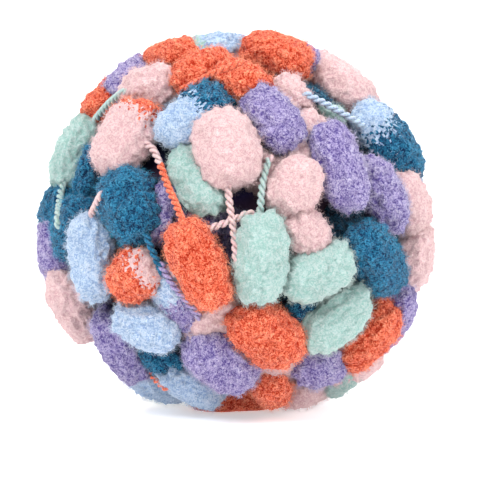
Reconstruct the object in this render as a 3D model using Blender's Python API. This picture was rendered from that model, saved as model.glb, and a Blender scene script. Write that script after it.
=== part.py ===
"""A wound ball of pompom yarn, resting on its own flat spot.

The yarn is a thin twisted cord with a soft pompom every few centimetres. It is
space-dyed, so its colour changes along it, and it is wound into a ball. This
script builds the wound form as one closed solid: a core, and on it every pompom
of the outer layers at its real size and place.

Units are metres and +Z is up. The ball is seen from the front, along +Y.
"""
from collections import namedtuple
import math
import random

import bmesh
import bpy
import numpy as np

# Driving dimensions of the ball
BALL_WIDTH = 0.150
BALL_DEPTH = 0.147
BALL_HEIGHT = 0.142
PRESSED_FLAT = 0.004
CORE_DEPTH = 0.019

# Driving dimensions of the yarn: a pompom out of sight is within these ranges
POMPOM_LENGTH = (0.028, 0.034)
POMPOM_WIDTH = (0.0175, 0.0215)
POMPOM_THICKNESS = 0.95
# How blunt its ends are: 2 would be an ellipsoid's
FULLNESS = 2.7

# A pompom lies level with the others in a wide gap and deeper in a narrow one
WIDE_GAP = 0.0085
NARROWEST_GAP = 0.0028
LIFT_IN_NARROWEST_GAP = -0.006
LIFT_IN_SEEN_GAP = -0.012
HIDDEN_LIFT = (-0.0025, -0.0005)
MOST_POMPOMS = 190

# The view that the front pompoms are placed in: picture columns run to the
# right and rows run down, in a picture of 480 by 480 pixels.
PIXEL = 0.000375
MIDDLE_COLUMN = 237
MIDDLE_ROW = 226
EYE_DISTANCE = 0.90
EYE_ABOVE_LEVEL = math.radians(4)
STEEPEST_LEAN = 1.2

# Fineness of the solid
SPHERE_SUBDIVISIONS = 7
SPHERE_TRIANGLES = 20 * 4 ** (SPHERE_SUBDIVISIONS - 1)
SOLID_TRIANGLES = 10800

# What is out of sight is filled by rule. Facing is 1 towards the eye and -1 away
# from it: level pompoms are added up to the first value, and from there to the
# second only deep ones, under those that are seen.
SEED = 11
TRIAL_SPOTS = 4000
TRIAL_TURNS = 8
NEWTON_STEPS = 12
CLOSE_ENOUGH = 0.001
FREE_FACING = -0.12
DEEP_FACING = 0.40
TWO_TONE_SHARE = 0.2
DARK_DYES = ("teal", "lilac")

HALF_SIZE = np.array([BALL_WIDTH, BALL_DEPTH, BALL_HEIGHT + PRESSED_FLAT]) / 2
MIDDLE = np.array([0, 0, BALL_HEIGHT - HALF_SIZE[2]])
RIGHT = np.array([1, 0, 0])
AHEAD = np.array([0, math.cos(EYE_ABOVE_LEVEL), -math.sin(EYE_ABOVE_LEVEL)])
UP = np.cross(RIGHT, AHEAD)
EYE = MIDDLE - AHEAD * EYE_DISTANCE

# Dye name, colour in sRGB
DYES = {
    "coral": "F97F63",
    "blush": "F3C9CC",
    "mint": "B5E0D3",
    "teal": "3F82A6",
    "sky": "ADC6EE",
    "lilac": "A692CE",
}

# Each pompom that shows from the front: the picture place of its middle, the
# turn of its long axis from the right, its length and width, how far it stands
# out of the ball's even surface, the dye of its tail and that of its tip, and
# how much of its length the tip's dye takes.
COLUMNS = "column row turn_deg length_mm width_mm lift_mm tail tip tip_share"
Seen = namedtuple("Seen", COLUMNS, defaults=[0.5])
SEEN_POMPOMS = [
    # Top edge
    Seen(166, 54, 17, 31, 18, 1.5, "coral", "coral"),
    Seen(125, 70, 50, 26, 17, 0.8, "lilac", "lilac"),
    Seen(213, 49, 8, 30, 18, -0.5, "mint", "sky", 0.62),
    Seen(277, 59, -18, 27, 19, 1.5, "coral", "coral"),
    Seen(300, 52, -20, 18, 13, 0.0, "lilac", "lilac"),
    Seen(344, 83, -38, 33, 21, 0.8, "blush", "blush"),
    # Upper row
    Seen(203, 73, 22, 24, 15.5, 0.5, "coral", "coral"),
    Seen(241, 82, -25, 24, 15.5, 0.8, "coral", "coral"),
    Seen(151, 90, 15, 23, 17.5, 0.5, "blush", "blush"),
    Seen(107, 99, 48, 25, 17, 0.5, "coral", "coral"),
    Seen(127, 138, 58, 30, 20.5, 2.0, "blush", "coral", 0.22),
    Seen(197, 118, 38, 30, 19, -0.8, "sky", "teal", 0.43),
    Seen(274, 119, -50, 27, 17.5, 0.0, "lilac", "lilac"),
    Seen(228, 150, -80, 30, 24, 2.5, "blush", "blush"),
    Seen(268, 178, -40, 26, 17, -9.0, "blush", "blush"),
    Seen(303, 140, 70, 26, 14, -8.0, "blush", "blush"),
    Seen(291, 97, -60, 19, 13, -7.0, "blush", "blush"),
    Seen(330, 119, -20, 13, 10, -11.0, "mint", "mint"),
    Seen(339, 167, -70, 34, 18, 2.0, "lilac", "lilac"),
    Seen(380, 193, -63, 30, 17.5, -2.5, "lilac", "lilac"),
    Seen(384, 145, -55, 35, 22, 0.8, "sky", "teal", 0.74),
    # Left side
    Seen(76, 154, 66, 31, 16, -0.5, "mint", "mint"),
    Seen(197, 181, -62, 28, 16.5, -5.0, "mint", "mint"),
    Seen(131, 206, -70, 28, 22, 1.0, "teal", "teal"),
    Seen(94, 178, 78, 26, 15, -8.0, "teal", "teal"),
    Seen(76, 227, 60, 29, 18, -2.0, "teal", "teal"),
    Seen(49, 213, 78, 27, 17, -0.3, "teal", "teal"),
    Seen(47, 253, -82, 30, 18, 0.0, "lilac", "lilac"),
    Seen(93, 259, -83, 32, 17.5, 1.5, "sky", "sky"),
    Seen(136, 276, 35, 20, 18.5, 0.5, "coral", "blush", 0.2),
    Seen(72, 308, -66, 33, 18, 2.2, "blush", "blush"),
    # Middle
    Seen(199, 265, -64, 33, 17.5, 3.0, "coral", "coral"),
    Seen(261, 259, 87, 31.5, 18.3, 3.0, "mint", "mint"),
    Seen(294, 188, 70, 22, 18.5, -0.5, "blush", "blush"),
    Seen(306, 232, -60, 19, 16, -3.0, "blush", "blush"),
    Seen(318, 271, 25, 27, 19, 0.5, "mint", "mint"),
    Seen(338, 318, 40, 29.5, 18, 1.0, "mint", "mint"),
    Seen(334, 221, 40, 25, 16, -13.0, "teal", "teal"),
    Seen(166, 213, 70, 26, 16, -9.0, "lilac", "lilac"),
    Seen(201, 216, -30, 26, 16, -11.0, "lilac", "lilac"),
    Seen(226, 250, 75, 30, 16, -13.0, "lilac", "lilac"),
    # Right side
    Seen(377, 260, -57, 34, 17.5, 1.5, "teal", "teal"),
    Seen(409, 205, -72, 28, 15, -1.0, "blush", "blush"),
    Seen(414, 256, -90, 35, 17.5, 0.0, "blush", "blush"),
    Seen(367, 334, 50, 31, 18.5, 0.5, "coral", "coral"),
    Seen(402, 328, 62, 38, 18, 0.5, "lilac", "lilac"),
    # Lower rows
    Seen(122, 345, -57, 33, 18, 0.0, "lilac", "lilac"),
    Seen(146, 324, -22, 25.5, 17.5, 1.5, "sky", "sky"),
    Seen(171, 357, -35, 26, 18, -5.0, "teal", "teal"),
    Seen(180, 296, -60, 28, 19, -6.0, "sky", "lilac"),
    Seen(217, 315, 20, 25, 18, -6.5, "blush", "blush"),
    Seen(266, 333, -38, 30, 20.5, 2.0, "coral", "coral"),
    Seen(303, 314, -50, 26, 18, -9.0, "teal", "teal"),
    Seen(223, 359, -38, 31, 22.5, 2.0, "lilac", "lilac"),
    Seen(193, 379, -28, 28, 18, -1.5, "sky", "sky"),
    Seen(152, 386, -30, 28, 18, -1.0, "sky", "sky"),
    Seen(272, 362, 0, 24, 14, -6.0, "blush", "blush"),
    Seen(318, 365, 5, 24, 16.5, -1.0, "lilac", "lilac"),
    Seen(341, 380, 45, 24, 15, 0.8, "mint", "mint"),
    Seen(370, 376, 38, 29, 18, 1.0, "blush", "blush"),
    Seen(270, 387, -75, 23, 14.5, 0.0, "coral", "coral"),
    Seen(308, 388, 12, 29, 17, -0.5, "blush", "blush"),
]

# A pompom is round across and blunt at its ends. Its shape's columns are its
# three half axes: along, across and out.
Pompom = namedtuple("Pompom", "centre shape tail tip tip_share")


def unit(vector):
    return vector / np.linalg.norm(vector)


def make_pompom(centre, along, length, width, tail, tip, tip_share=0.5):
    """A pompom whose long axis lies as nearly along the given way as it can."""
    out = unit(centre - MIDDLE)
    along = unit(along - out * (along @ out))
    across = np.cross(out, along)
    halves = np.array([length, width, width * POMPOM_THICKNESS]) / 2
    shape = np.column_stack([along, across, out]) * halves
    return Pompom(centre, shape, tail, tip, tip_share)


def seen_pompom(row):
    """Set a pompom on the line of sight through its place in the picture."""
    length = row.length_mm / 1000
    width = row.width_mm / 1000
    to_right = (row.column - MIDDLE_COLUMN) * PIXEL
    to_top = (MIDDLE_ROW - row.row) * PIXEL
    sight = unit(MIDDLE + RIGHT * to_right + UP * to_top - EYE)
    shell = HALF_SIZE - width / 2 + row.lift_mm / 1000
    start = (EYE - MIDDLE) / shell
    step = sight / shell
    square = step @ step
    half_slope = start @ step
    under_root = half_slope ** 2 - square * (start @ start - 1)
    reach = (-half_slope - math.sqrt(max(under_root, 0))) / square
    spot = start + step * reach
    centre = MIDDLE + shell * spot / max(np.linalg.norm(spot), 1)
    out = unit(centre - MIDDLE)
    turn = math.radians(row.turn_deg)
    across_view = RIGHT * math.cos(turn) + UP * math.sin(turn)
    facing = min(sight @ out, -0.05)
    lean = -(across_view @ out) / facing
    lean = max(-STEEPEST_LEAN, min(STEEPEST_LEAN, lean))
    along = across_view + sight * lean
    return make_pompom(centre, along, length, width, row.tail, row.tip, row.tip_share)


def resting_pompom():
    """The lowest pompom, which the ball's weight presses flat."""
    length = POMPOM_LENGTH[1]
    width = POMPOM_WIDTH[1]
    centre = MIDDLE - np.array([0, 0, HALF_SIZE[2] - width / 2])
    return make_pompom(centre, np.array([1, 0.25, 0]), length, width, "coral", "coral")


def even_directions(count):
    """Directions spread evenly over a sphere by the golden angle."""
    turn = np.arange(count) * math.pi * (3 - math.sqrt(5))
    height = 1 - (2 * np.arange(count) + 1) / count
    radius = np.sqrt(1 - height ** 2)
    return np.column_stack([radius * np.cos(turn), radius * np.sin(turn), height])


def next_dye(chance, centre, pompoms):
    """One of the three dyes that lie farthest from this place."""
    distance = {}
    for dye in DYES:
        same = [pompom.centre for pompom in pompoms if dye in (pompom.tail, pompom.tip)]
        distance[dye] = min(np.linalg.norm(place - centre) for place in same)
    return chance.choice(sorted(DYES, key=distance.get)[-3:])


def room_around(places, pompoms):
    """How far each place is from the nearest pompom's surface."""
    room = np.full(len(places), np.inf)
    for pompom in pompoms:
        inverse = np.linalg.inv(pompom.shape)
        spread = np.linalg.norm((places - pompom.centre) @ inverse.T, axis=1)
        room = np.minimum(room, (spread - 1) * np.linalg.norm(pompom.shape[:, 1]))
    return room


def roomiest_way(centre, length, pompoms):
    """The way a pompom can lie so that its ends meet the least."""
    out = unit(centre - MIDDLE)
    first = unit(np.cross(out, RIGHT + UP))
    second = np.cross(out, first)
    turns = np.arange(TRIAL_TURNS) * math.pi / TRIAL_TURNS
    ways = np.outer(np.cos(turns), first) + np.outer(np.sin(turns), second)
    ends = [room_around(centre + ways * side * length / 2, pompoms) for side in (-1, 1)]
    return ways[int(np.minimum(*ends).argmax())]


def hidden_pompoms(placed):
    """Fill the sides and the back: each pompom goes where there is most room."""
    chance = random.Random(SEED)
    pompoms = list(placed)
    directions = even_directions(TRIAL_SPOTS)
    directions = directions[directions @ -AHEAD < DEEP_FACING]
    in_seen_gap = directions @ -AHEAD > FREE_FACING
    depths = POMPOM_WIDTH[0] / 2 - LIFT_IN_SEEN_GAP * in_seen_gap
    spots = MIDDLE + directions * (HALF_SIZE - depths[:, None])
    room = room_around(spots, pompoms)
    while room.max() > NARROWEST_GAP and len(pompoms) < MOST_POMPOMS:
        best = int(room.argmax())
        wideness = min((room[best] - NARROWEST_GAP) / (WIDE_GAP - NARROWEST_GAP), 1)
        lift = LIFT_IN_NARROWEST_GAP * (1 - wideness) + chance.uniform(*HIDDEN_LIFT)
        if in_seen_gap[best]:
            lift = LIFT_IN_SEEN_GAP
        length = chance.uniform(*POMPOM_LENGTH)
        width = chance.uniform(*POMPOM_WIDTH)
        centre = MIDDLE + directions[best] * (HALF_SIZE - width / 2 + lift)
        along = roomiest_way(centre, length, pompoms)
        tail = next_dye(chance, centre, pompoms)
        tip = next_dye(chance, centre, pompoms) if chance.random() < TWO_TONE_SHARE else tail
        if in_seen_gap[best]:
            tail = tip = chance.choice(DARK_DYES)
        pompoms.append(make_pompom(centre, along, length, width, tail, tip))
        room = np.minimum(room, room_around(spots, pompoms[-1:]))
    return pompoms[len(placed):]


def centred(pompoms):
    """Move all the pompoms level so that their outline is centred on the origin."""
    halves = np.array([np.linalg.norm(pompom.shape, axis=1) for pompom in pompoms])
    centres = np.array([pompom.centre for pompom in pompoms])
    off_centre = ((centres - halves).min(axis=0) + (centres + halves).max(axis=0)) / 2
    off_centre[2] = 0
    return [pompom._replace(centre=pompom.centre - off_centre) for pompom in pompoms]


def lay_out_pompoms():
    placed = [seen_pompom(row) for row in SEEN_POMPOMS]
    placed.append(resting_pompom())
    return centred(placed + hidden_pompoms(placed))


def way_out(directions, pompom):
    """How far from the ball's middle each way leaves a pompom, 0 where it misses it.

    Newton's steps start on an ellipsoid around the pompom and can only close in.
    """
    inverse = np.linalg.inv(pompom.shape)
    start = inverse @ (MIDDLE - pompom.centre)
    steps = directions @ inverse.T
    square = (steps ** 2).sum(axis=1)
    half_slope = steps @ start
    around = 2 ** (1 / 2 - 1 / FULLNESS)
    under_root = half_slope ** 2 - square * (start @ start - around ** 2)
    hits = under_root > 0
    reach = np.zeros(len(directions))
    reach[hits] = ((-half_slope + np.sqrt(np.abs(under_root))) / square)[hits]
    size = np.ones(len(directions))
    for _ in range(NEWTON_STEPS):
        local = start + steps[hits] * reach[hits, None]
        along = np.abs(local[:, 0])
        across = np.linalg.norm(local[:, 1:], axis=1)
        size[hits] = (along ** FULLNESS + across ** FULLNESS) ** (1 / FULLNESS)
        slope = np.sign(local[:, 0]) * along ** (FULLNESS - 1) * steps[hits, 0]
        slope += across ** (FULLNESS - 2) * (local[:, 1:] * steps[hits, 1:]).sum(axis=1)
        slope = np.maximum(slope / size[hits] ** (FULLNESS - 1), CLOSE_ENOUGH)
        reach[hits] -= (size[hits] - 1) / slope
    return np.where(hits & (np.abs(size - 1) < CLOSE_ENOUGH), reach, 0)


def outer_reach(directions, pompoms):
    """How far the ball reaches each way from its middle, and which pompom is there.

    Where a gap goes down to the core, the nearest pompom gives it its colour.
    """
    reach = np.linalg.norm(directions * (HALF_SIZE - CORE_DEPTH), axis=1)
    centres = np.array([pompom.centre - MIDDLE for pompom in pompoms])
    owner = (directions @ centres.T).argmax(axis=1)
    for number, pompom in enumerate(pompoms):
        leaves = way_out(directions, pompom)
        farther = leaves > reach
        reach = np.where(farther, leaves, reach)
        owner = np.where(farther, number, owner)
    to_ground = MIDDLE[2] / np.maximum(-directions[:, 2], 1e-6)
    return np.minimum(reach, to_ground), owner


def dye_material(name):
    """Soft yarn in one dye."""
    material = bpy.data.materials.new(name + "_yarn")
    material.use_nodes = True
    shader = material.node_tree.nodes["Principled BSDF"]
    parts = [int(DYES[name][at:at + 2], 16) / 255 for at in (0, 2, 4)]
    shader.inputs["Base Color"].default_value = (*[part ** 2.2 for part in parts], 1)
    shader.inputs["Roughness"].default_value = 0.95
    shader.inputs["Metallic"].default_value = 0.0
    return material


def dye_at(pompom, place):
    """The dye of a two-tone pompom changes at one place along its length."""
    along = np.linalg.inv(pompom.shape)[0] @ (place - pompom.centre)
    return pompom.tip if along > 1 - 2 * pompom.tip_share else pompom.tail


def build_ball():
    """The ball as one solid: a sphere whose every point is drawn out to the yarn."""
    pompoms = lay_out_pompoms()
    shape = bmesh.new()
    bmesh.ops.create_icosphere(shape, subdivisions=SPHERE_SUBDIVISIONS, radius=1)
    directions = np.array([unit(np.array(vertex.co)) for vertex in shape.verts])
    reach, owner = outer_reach(directions, pompoms)
    places = MIDDLE + directions * reach[:, None]
    dye_names = list(DYES)
    for face in shape.faces:
        corner = face.verts[0].index
        face.material_index = dye_names.index(dye_at(pompoms[owner[corner]], places[corner]))
        face.smooth = True
    for vertex, place in zip(shape.verts, places):
        vertex.co = place
    mesh = bpy.data.meshes.new("yarn_ball")
    shape.to_mesh(mesh)
    shape.free()
    for name in dye_names:
        mesh.materials.append(dye_material(name))
    ball = bpy.data.objects.new("yarn_ball", mesh)
    bpy.context.scene.collection.objects.link(ball)
    thin_out = ball.modifiers.new("Fewer faces", "DECIMATE")
    thin_out.ratio = SOLID_TRIANGLES / SPHERE_TRIANGLES
    return ball


def clear_scene():
    for item in list(bpy.data.objects):
        bpy.data.objects.remove(item, do_unlink=True)


clear_scene()
build_ball()
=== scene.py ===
"""A wound ball of space-dyed pompom yarn, on a pale floor in soft studio light.

The pompoms lie where the frame's solid has them. Each is a heart of bound
fibres that carries a pile of soft, curled tufts. The thin twisted cord that
joins them runs over their gaps, and a core of inner yarn lies under them all.
"""
from collections import namedtuple
from functools import lru_cache
from itertools import combinations
import math
import random

import bmesh
import bpy
from bpy.props import FloatProperty, FloatVectorProperty, PointerProperty
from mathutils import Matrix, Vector
from mathutils.bvhtree import BVHTree
import numpy as np


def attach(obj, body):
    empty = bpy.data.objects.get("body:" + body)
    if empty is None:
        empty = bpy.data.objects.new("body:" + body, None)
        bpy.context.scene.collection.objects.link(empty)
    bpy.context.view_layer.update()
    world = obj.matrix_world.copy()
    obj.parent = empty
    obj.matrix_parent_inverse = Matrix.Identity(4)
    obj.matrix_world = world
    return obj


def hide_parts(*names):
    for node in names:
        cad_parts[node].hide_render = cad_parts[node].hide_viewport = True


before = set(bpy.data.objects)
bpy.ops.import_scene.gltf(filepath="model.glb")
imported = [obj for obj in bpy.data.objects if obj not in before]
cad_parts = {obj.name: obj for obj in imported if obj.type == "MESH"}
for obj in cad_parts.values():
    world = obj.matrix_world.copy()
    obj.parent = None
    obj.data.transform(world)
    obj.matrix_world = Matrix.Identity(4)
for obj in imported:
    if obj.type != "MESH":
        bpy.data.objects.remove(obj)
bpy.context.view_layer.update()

bl_info = {
    "name": "Pompom Yarn Ball",
    "version": (1, 0, 0),
    "blender": (4, 5, 0),
    "location": "View3D > Sidebar > Yarn Ball",
    "description": "Builds a wound ball of space-dyed pompom yarn on a pale floor",
    "category": "Object",
}

BALL_NODE = "yarn_ball"
BODY = "root"
MM = 0.001

# The ball and its layout, as in the frame
BALL_WIDTH = 0.150
BALL_DEPTH = 0.147
BALL_HEIGHT = 0.142
PRESSED_FLAT = 0.004
CORE_DEPTH = 0.019
POMPOM_LENGTH = (0.028, 0.034)
POMPOM_WIDTH = (0.0175, 0.0215)
POMPOM_THICKNESS = 0.95
WIDE_GAP = 0.0085
NARROWEST_GAP = 0.0028
LIFT_IN_NARROWEST_GAP = -0.006
LIFT_IN_SEEN_GAP = -0.012
HIDDEN_LIFT = (-0.0025, -0.0005)
RESTING_WAY = np.array([1, 0.25, 0])

# The photograph's view, in a picture of 480 by 480 pixels
PICTURE_SIDE = 480
PIXEL = 0.000375
MIDDLE_COLUMN = 237
MIDDLE_ROW = 226
EYE_DISTANCE = 0.90
EYE_ABOVE_LEVEL = math.radians(4)
STEEPEST_LEAN = 1.2
EDGE_FACING = -0.05

# What is out of sight is filled by rule, from -1, away from the eye, up to
# level pompoms at the first facing and deep ones at the second
SEED = 11
TRIAL_SPOTS = 4000
TRIAL_TURNS = 8
FREE_FACING = -0.12
DEEP_FACING = 0.40
TWO_TONE_SHARE = 0.2
DARK_DYES = ("teal", "lilac")

HALF_SIZE = np.array([BALL_WIDTH, BALL_DEPTH, BALL_HEIGHT + PRESSED_FLAT]) / 2
MIDDLE = np.array([0, 0, BALL_HEIGHT - HALF_SIZE[2]])
RIGHT = np.array([1, 0, 0])
AHEAD = np.array([0, math.cos(EYE_ABOVE_LEVEL), -math.sin(EYE_ABOVE_LEVEL)])
UP = np.cross(RIGHT, AHEAD)
EYE = MIDDLE - AHEAD * EYE_DISTANCE

# Each dye in sRGB: the tips of the pile, paler with painted light, its flanks, and the painted
# shade at its roots, in the pits and creases.
# Light goes from fibre to fibre in a pale dye, so its fine relief shows less.
Dye = namedtuple("Dye", "tip flank root relief")
DYES = {
    "coral": Dye("EC9F7D", "DB684B", "A0270F", 0.7),
    "blush": Dye("D8BFBF", "CDB1B1", "BB979B", 0.5),
    "mint": Dye("B5C2BF", "A0B6B3", "85A8A1", 0.5),
    "teal": Dye("4192B3", "186185", "032241", 0.75),
    "sky": Dye("C2CCD9", "A5B7CB", "7C94B7", 0.5),
    "lilac": Dye("BCB7CC", "968BB4", "534683", 0.7),
}
DYE_NUMBERS = {name: number for number, name in enumerate(DYES)}

# Each pompom that the photograph shows: the picture place of its middle, the
# turn of its long axis from the right, its length and width, how far it stands
# out of the ball's even surface, the dye of its tail and, if its tip has another,
# that dye and how much of its length it takes.
Seen = namedtuple("Seen", "column row turn_deg length_mm width_mm lift_mm tail tip tip_share",
                  defaults=[None, 0.5])
SEEN_POMPOMS = [Seen(*row) for row in (
    # Top edge
    (166, 54, 17, 31, 18, 1.5, "coral"),
    (125, 70, 50, 26, 17, 0.8, "lilac"),
    (213, 49, 8, 30, 18, -0.5, "mint", "sky", 0.62),
    (277, 59, -18, 27, 19, 1.5, "coral"),
    (300, 52, -20, 18, 13, 0.0, "lilac"),
    (344, 83, -38, 33, 21, 0.8, "blush"),
    # Upper row
    (203, 73, 22, 24, 15.5, 0.5, "coral"),
    (241, 82, -25, 24, 15.5, 0.8, "coral"),
    (151, 90, 15, 23, 17.5, 0.5, "blush"),
    (107, 99, 48, 25, 17, 0.5, "coral"),
    (127, 138, 58, 30, 20.5, 2.0, "blush", "coral", 0.22),
    (197, 118, 38, 30, 19, -0.8, "sky", "teal", 0.43),
    (274, 119, -50, 27, 17.5, 0.0, "lilac"),
    (228, 150, -80, 30, 24, 2.5, "blush"),
    (268, 178, -40, 26, 17, -9.0, "blush"),
    (303, 140, 70, 26, 14, -8.0, "blush"),
    (291, 97, -60, 19, 13, -7.0, "blush"),
    (330, 119, -20, 13, 10, -11.0, "mint"),
    (339, 167, -70, 34, 18, 2.0, "lilac"),
    (380, 193, -63, 30, 17.5, -2.5, "lilac"),
    (384, 145, -55, 35, 22, 0.8, "sky", "teal", 0.74),
    # Left side
    (76, 154, 66, 31, 16, -0.5, "mint"),
    (197, 181, -62, 28, 16.5, -5.0, "mint"),
    (131, 206, -70, 28, 22, 1.0, "teal"),
    (94, 178, 78, 26, 15, -8.0, "teal"),
    (76, 227, 60, 29, 18, -2.0, "teal"),
    (49, 213, 78, 27, 17, -0.3, "teal"),
    (47, 253, -82, 30, 18, 0.0, "lilac"),
    (93, 259, -83, 32, 17.5, 1.5, "sky"),
    (136, 276, 35, 20, 18.5, 0.5, "coral", "blush", 0.2),
    (72, 308, -66, 33, 18, 2.2, "blush"),
    # Middle
    (199, 265, -64, 33, 17.5, 3.0, "coral"),
    (261, 259, 87, 31.5, 18.3, 3.0, "mint"),
    (294, 188, 70, 22, 18.5, -0.5, "blush"),
    (306, 232, -60, 19, 16, -3.0, "blush"),
    (318, 271, 25, 27, 19, 0.5, "mint"),
    (338, 318, 40, 29.5, 18, 1.0, "mint"),
    (334, 221, 40, 25, 16, -13.0, "teal"),
    (166, 213, 70, 26, 16, -9.0, "lilac"),
    (201, 216, -30, 26, 16, -11.0, "lilac"),
    (226, 250, 75, 30, 16, -13.0, "lilac"),
    # Right side
    (377, 260, -57, 34, 17.5, 1.5, "teal"),
    (409, 205, -72, 28, 15, -1.0, "blush"),
    (414, 256, -90, 35, 17.5, 0.0, "blush"),
    (367, 334, 50, 31, 18.5, 0.5, "coral"),
    (402, 328, 62, 38, 18, 0.5, "lilac"),
    # Lower rows
    (122, 345, -57, 33, 18, 0.0, "lilac"),
    (146, 324, -22, 25.5, 17.5, 1.5, "sky"),
    (171, 357, -35, 26, 18, -5.0, "teal"),
    (180, 296, -60, 28, 19, -6.0, "sky", "lilac"),
    (217, 315, 20, 25, 18, -6.5, "blush"),
    (266, 333, -38, 30, 20.5, 2.0, "coral"),
    (303, 314, -50, 26, 18, -9.0, "teal"),
    (223, 359, -38, 31, 22.5, 2.0, "lilac"),
    (193, 379, -28, 28, 18, -1.5, "sky"),
    (152, 386, -30, 28, 18, -1.0, "sky"),
    (272, 362, 0, 24, 14, -6.0, "blush"),
    (318, 365, 5, 24, 16.5, -1.0, "lilac"),
    (341, 380, 45, 24, 15, 0.8, "mint"),
    (370, 376, 38, 29, 18, 1.0, "blush"),
    (270, 387, -75, 23, 14.5, 0.0, "coral"),
    (308, 388, 12, 29, 17, -0.5, "blush"),
)]

# A pompom's shape has its three half axes as columns: along, across and out
Pompom = namedtuple("Pompom", "centre shape tail tip tip_share")

# The pompoms have fuller ends than ellipsoids, and are uneven: a few long swells
# over each, and more short ones. Both have a height, a count and a wave number
# in radians for each half axis.
FULLNESS = 2.7
SWELLS = ((0.045, 5, 2.0), (0.034, 9, 6.5))
HEART_SUBDIVISIONS = 3
HEART_DEPTH = 3.0 * MM
HEART_ABOVE_FLOOR = 0.3 * MM

# Smooth noise comes in layers, each with the size of its lumps and their height
NOISE_WAYS = 1021
NOISE_PRIMES = (73856093, 19349663, 83492791)
CORE_SUBDIVISIONS = 5
CORE_LUMPS = ((11 * MM, 1.0), (3 * MM, 0.4))
CORE_RELIEF = 2 * MM

# The pile: its grid over each pompom, the sizes and shares of its clumps, how
# high it stands, and how it gives way where two pompoms press on each other
PILE_GRID = 50
CLUMPS = ((4.4 * MM, 0.55), (2.0 * MM, 0.45))
CLUMP_SHIFT = np.array([0.31, 0.17, 0.53])
PIT_WIDTH = 0.36
PIT_CURVE = 0.7
EVEN_HEIGHT = 0.5
PILE_ABOVE_FLOOR = 0.05 * MM
LOWEST_PILE = -1 * MM
NEIGHBOUR_REACH = 0.040
NEAR_IN_HALF_AXES = 1.7
BURIED = -0.6 * MM
BURIED_PILE = 1.5 * BURIED
BURIED_HEART = 3 * BURIED
CROWDED = 1.6 * MM
SQUEEZE = 0.3 * MM

# Rays look for the open air: straight out, half way there, and tilted in a ring
RAYS_IN_RING = 5
ESCAPE_TILT = 0.9
ANY_SKEW_WAY = (0.3, 0.5, 0.8)

# Where one dye gives way to the other, in half lengths: a ragged edge, over
# which single fibres stray
RAGGED_LUMPS = ((5 * MM, 0.3), (1.3 * MM, 1.0))
RAGGED_DYE = 0.65
MIXED_DYE = 0.3

# Painted shade: the colour of fibres in the depth of the ball is darkened, for the shade that lies
# there, partly from finer fibres than are drawn
SHADE_STARTS = 11 * MM
SHADE_ENDS = 15 * MM
DEEPEST_SHADE = 0.25
# Random patches of lighter and darker tone in the dye
MOTTLED_TONE = ((7 * MM, 0.12),)
UV_MAP = "OFBake"
TILE_MARGIN = 0.01
DEPTH_MAP = "PileDepth"

# A loose fibre: how its length and lean vary, where it bends over, how long
# and how upright its bent part is, and its four corners in the map
FIBRE_LENGTHS = (0.5, 1.25)
FIBRE_LEANS = (0.1, 0.9)
BENDS_AT = 0.55
BENT_LENGTH = 0.6
BENT_UPRIGHT = 0.55
FIBRE_SHADES = (0.02, 0.94)
LEAF_MAP = np.array([(0.01, 0.02), (0, 0.5), (0.03, 0.52), (0.02, 0.98)])

# The connecting cord: two plies, the steps and sides that draw them, and how
# its ends go into pompoms
CORD_STEP = 0.45 * MM
CORD_SMOOTHING = 6
PLY_SIDES = 6
PLY_SPREAD = 0.98
TUCKED_IN = 5.5 * MM
STRAIGHT_ON = 0.5
STRAIGHT_STEPS = 4
FARTHEST_OWN_DYE = 4 * MM
ROUND_CORD = 1.0 * MM
DEEPEST_CORD = 8 * MM
PIXEL_STEP = 2.0

# Each cord that the photograph shows: its places in the picture from one
# pompom's end to the next, and its dyes along it
SEEN_CORDS = [
    ([(154, 150), (162, 169), (168, 187), (176, 204), (182, 220)], ["blush", "coral", "coral"]),
    ([(228, 190), (230, 208), (233, 226), (235, 244), (236, 262)], ["blush"]),
    ([(208, 229), (220, 225), (236, 219), (250, 212)], ["blush"]),
    ([(270, 157), (265, 170), (262, 188), (260, 213)], ["blush", "mint", "mint", "mint"]),
    ([(182, 90), (200, 80), (222, 70), (242, 62)], ["coral"]),
    ([(123, 92), (110, 102), (97, 117)], ["mint"]),
    ([(308, 95), (324, 103), (340, 112), (354, 120)], ["sky"]),
    ([(160, 264), (172, 284), (186, 300), (200, 318)], ["lilac"]),
    ([(146, 234), (152, 250), (161, 270)], ["teal"]),
    ([(61, 192), (59, 207), (57, 224)], ["mint"]),
    ([(101, 194), (97, 203), (92, 213)], ["blush"]),
    ([(150, 372), (157, 381), (165, 388)], ["coral"]),
]

# The cords out of sight: how long, where they may end, and how far under the
# surface one may dip
CordEnd = namedtuple("CordEnd", "number side dye place")
HIDDEN_CORD_LENGTH = (0.012, 0.034)
CORD_LEAVES_AT = 0.9
SEEN_FACING = 0.15
LOWEST_CORD_END = 12 * MM
OUTSIDE_BALL = 0.12
HIDDEN_BELOW = -0.0025
SHARE_IN_OPEN = 0.7
HIDDEN_CORD_PLACES = 24
FEWEST_FREE_PLACES = 12

# The floor, in metres: its sides, its level part, its bend and its backdrop
FLOOR_SIDES = (-2.5, 2.5)
LEVEL_FLOOR = (-1.6, 1.1)
BEND_STARTS = 1.3
BEND_STEPS = 13
BACKDROP_TOP = 2.5

# What every shader here starts from
MATT = {"Roughness": 0.95, "IOR": 1.5, "Specular IOR Level": 0.1}


def unit(vector):
    return vector / np.linalg.norm(vector)


def norms(vectors):
    return np.linalg.norm(vectors, axis=-1)


def units(vectors):
    return vectors / np.maximum(norms(vectors)[..., None], 1e-12)


def turned(first, second, angle):
    """The first way, turned by an angle towards the second."""
    return first * np.cos(angle) + second * np.sin(angle)


def linear(hex_colour):
    """An sRGB hex colour as linear red, green and blue."""
    channels = [int(hex_colour[at:at + 2], 16) / 255 for at in (0, 2, 4)]
    return tuple(
        channel / 12.92 if channel <= 0.04045 else ((channel + 0.055) / 1.055) ** 2.4
        for channel in channels
    )


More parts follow.
